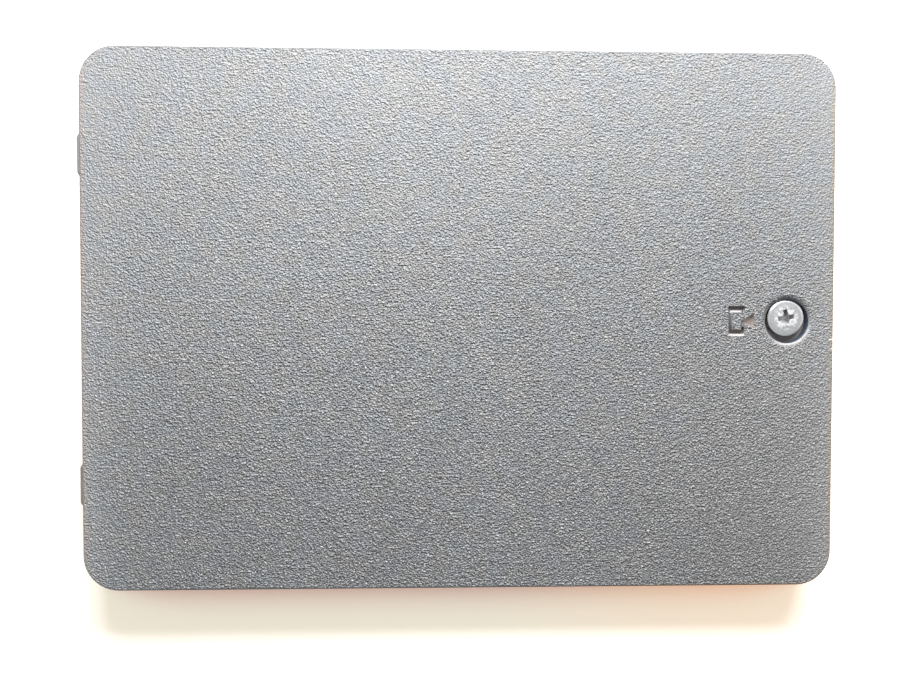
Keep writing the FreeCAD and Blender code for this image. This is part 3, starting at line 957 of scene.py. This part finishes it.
def screw_blank(look, columns=96, rows_per_turn=14, dome_rows=12):
    """Screw before its recess is cut. Head and neck are a profile turned about the axis. In the thread,
    radius = root + depth * ridge, where ridge is a flat-topped wave of height / pitch - angle / turn,
    held below the chamfer at the tip and the shoulder at the neck."""
    flat = HEAD_RADIUS - look.head_bevel
    rim_z = SCREW_HIGH.z - look.head_dome
    dome_radius = np.linspace(0.1, 0.94, dome_rows) * flat
    dome_level = SCREW_HIGH.z - look.head_dome * (dome_radius / flat) ** 2
    corner_cuts = np.array([0.08, 0.05, 0.08, 0.15]) * MM
    edge = eased([
        (dome_radius[-1], dome_level[-1]), (flat, rim_z), (HEAD_RADIUS, SEAT_FLOOR_Z + look.head_edge),
        (HEAD_RADIUS, SEAT_FLOOR_Z), (look.neck_radius, SEAT_FLOOR_Z), (look.neck_radius, THREAD_TOP_Z),
    ], corner_cuts)
    tip_z = SCREW_LOW.z
    count = int(rows_per_turn * (THREAD_TOP_Z - tip_z) / look.thread_pitch)
    thread_level = np.linspace(THREAD_TOP_Z, tip_z, count)
    level = np.concatenate([dome_level, edge[1:, 1], thread_level[1:]])
    plain = np.concatenate([dome_radius, edge[1:, 0], np.zeros(count - 1)])
    turn = np.linspace(0, 1, columns, endpoint=False)
    phase = (level[:, None] / look.thread_pitch - turn) % 1
    crest_share, root_share, depth_share, shoulder_slope = 1 / 8, 1 / 4, 0.6134, 1.5
    wave = 1 - np.abs(2 * phase - 1)
    ridge = np.clip((wave - root_share) / (1 - root_share - crest_share), 0, 1)
    depth = depth_share * look.thread_pitch
    threaded = look.thread_radius - depth + depth * ridge
    tip_limit = look.thread_radius - look.tip_chamfer + (level - tip_z)
    shoulder_limit = look.neck_radius + (THREAD_TOP_Z - level) * shoulder_slope
    threaded = np.minimum(threaded, np.minimum(tip_limit, shoulder_limit)[:, None])
    radius = np.where((level >= THREAD_TOP_Z)[:, None], plain[:, None], threaded)
    return turned("captive_screw_plated", radius, level, columns)


def drive_cutters(look, columns=32):
    """Cutters of the cross recess: two crossed slots, which are rectangles that widen upwards by the
    leans of their ends and sides, and a cone in the middle."""
    centre = np.array([SCREW_X, SCREW_Y])
    deep = look.drive_depth
    high = deep + CUTTER_CLEARANCE
    levels = [SCREW_HIGH.z - deep, SCREW_HIGH.z + CUTTER_CLEARANCE]
    lean = np.tan([look.drive_end_taper, look.drive_side_taper])
    low_half = np.array([look.drive_span, look.drive_arm]) / 2 - lean * deep
    corner = np.array([(-1, -1), (1, -1), (1, 1), (-1, 1)])
    for turn in (look.drive_turn, look.drive_turn + math.pi / 2):
        spin = np.array([[math.cos(turn), math.sin(turn)], [-math.sin(turn), math.cos(turn)]])
        outlines = [corner * half @ spin + centre for half in (low_half, low_half + lean * high)]
        yield loft("slot_cutter", outlines, levels)
    low_radius = look.drive_arm / 2
    high_radius = low_radius + (look.drive_core / 2 - low_radius) * high / deep
    circle = unit_circle(columns)
    yield loft("core_cutter", [centre + circle * low_radius, centre + circle * high_radius], levels)


def area_light(name, spot, width, height, watts, tint):
    """Rectangular light at a spot, turned towards the origin and not seen itself."""
    data = bpy.data.lights.new(name, "AREA")
    data.shape = "RECTANGLE"
    data.size = width
    data.size_y = height
    data.energy = watts
    data.color = tint
    lamp = linked(name, data)
    lamp.location = spot
    lamp.rotation_euler = (-lamp.location).to_track_quat("-Z", "Y").to_euler()
    lamp.visible_camera = False


def room_light(look):
    """World that lights from all sides and is seen as pure white."""
    world = bpy.data.worlds.new("room")
    world.use_nodes = True
    world.node_tree.nodes.clear()
    start = Wire(world.node_tree)
    seen = seen_directly(start).blend(solid(look.room), WHITE)
    background = start.node("ShaderNodeBackground", {}, {"Color": seen})
    start.node("ShaderNodeOutputWorld", {}, {"Surface": background})
    return world


def photo_camera(look):
    """Camera at the photograph's viewing angle."""
    data = bpy.data.cameras.new("photo_camera")
    data.sensor_width = SENSOR_WIDTH
    data.lens = look.lens
    data.clip_start = NEAREST_SEEN
    camera = linked("photo_camera", data)
    camera.location = look.camera_place
    camera.rotation_euler = (look.camera_tilt, look.camera_pan, look.camera_roll)
    return camera


class COVER_OT_make_panel(bpy.types.Operator):
    """Make the moulded panel with its recessed sign and grained finish"""

    bl_idname = "cover.make_panel"
    bl_label = "Make panel"

    def execute(self, context):
        look = context.scene.cover_panel_look
        piece = merged_copy("cover_panel", "cover_panel_moulding")
        for name, outline in zip(("frame_cutter", "arrow_cutter"), sign_outlines(look)):
            cut(piece, sign_recess(name, outline, look))
        cut(piece, dish_cutter(look))
        shade(piece)
        dress(piece, panel_plastic(look), "panel", "cover_panel")
        return {"FINISHED"}


class COVER_OT_make_screw(bpy.types.Operator):
    """Make the captive screw with its thread and cross recess"""

    bl_idname = "cover.make_screw"
    bl_label = "Make screw"

    def execute(self, context):
        look = context.scene.captive_screw_look
        piece = screw_blank(look)
        for cutter in drive_cutters(look):
            cut(piece, cutter)
        shade(piece)
        dress(piece, screw_plating(look), "screw", "captive_screw")
        return {"FINISHED"}


class COVER_OT_make_clip(bpy.types.Operator):
    """Make the spring clip with its stamped edges"""

    bl_idname = "cover.make_clip"
    bl_label = "Make clip"

    def execute(self, context):
        look = context.scene.retaining_clip_look
        piece = merged_copy("retaining_clip", "retaining_clip_stamped")
        ease = piece.modifiers.new("stamped edges", "BEVEL")
        ease.width = look.edge_round
        ease.segments = 2
        ease.limit_method = "ANGLE"
        shade(piece)
        dress(piece, clip_steel(look), "clip", "retaining_clip")
        return {"FINISHED"}


class COVER_OT_make_stage(bpy.types.Operator):
    """Make the paper floor, the window light, the light from below, the room light and the camera"""

    bl_idname = "cover.make_stage"
    bl_label = "Make stage"

    def execute(self, context):
        look = context.scene.cover_stage_look
        scene = context.scene
        corners = np.array([(-1, -1, 0), (1, -1, 0), (1, 1, 0), (-1, 1, 0)]) * FLOOR_HALF
        floor = mesh_piece("paper_floor", corners + (0, 0, CAD_LOW.z - FLOOR_GAP), [[0, 1, 2, 3]])
        floor.data.materials.append(floor_paper(look))
        area_light("window_light", look.key_place, look.key_width, look.key_height,
                   look.key_power, look.key_colour)
        area_light("under_light", (0.0, 0.0, -UNDER_DEPTH), UNDER_SIZE, UNDER_SIZE,
                   look.under_power, look.key_colour)
        scene.world = room_light(look)
        scene.camera = photo_camera(look)
        scene.view_settings.view_transform = "Standard"
        return {"FINISHED"}


class COVER_PT_sidebar(bpy.types.Panel):
    """Buttons for the cover's pieces and its stage"""

    bl_idname = "COVER_PT_sidebar"
    bl_label = "Access panel cover"
    bl_space_type = "VIEW_3D"
    bl_region_type = "UI"
    bl_category = "Cover"

    def draw(self, context):
        for operator in OPERATORS:
            self.layout.operator(operator.bl_idname)


LOOKS = {
    "cover_panel_look": CoverPanelLook,
    "captive_screw_look": CaptiveScrewLook,
    "retaining_clip_look": RetainingClipLook,
    "cover_stage_look": CoverStageLook,
}
OPERATORS = (COVER_OT_make_panel, COVER_OT_make_screw, COVER_OT_make_clip, COVER_OT_make_stage)


def register():
    for group in (*LOOKS.values(), *OPERATORS, COVER_PT_sidebar):
        bpy.utils.register_class(group)
    for name, group in LOOKS.items():
        setattr(bpy.types.Scene, name, bpy.props.PointerProperty(type=group))


def unregister():
    for name in LOOKS:
        delattr(bpy.types.Scene, name)
    for group in reversed((*LOOKS.values(), *OPERATORS, COVER_PT_sidebar)):
        bpy.utils.unregister_class(group)


def main():
    register()
    bpy.ops.cover.make_panel()
    bpy.ops.cover.make_screw()
    bpy.ops.cover.make_clip()
    bpy.ops.cover.make_stage()


if __name__ == "__main__":
    main()
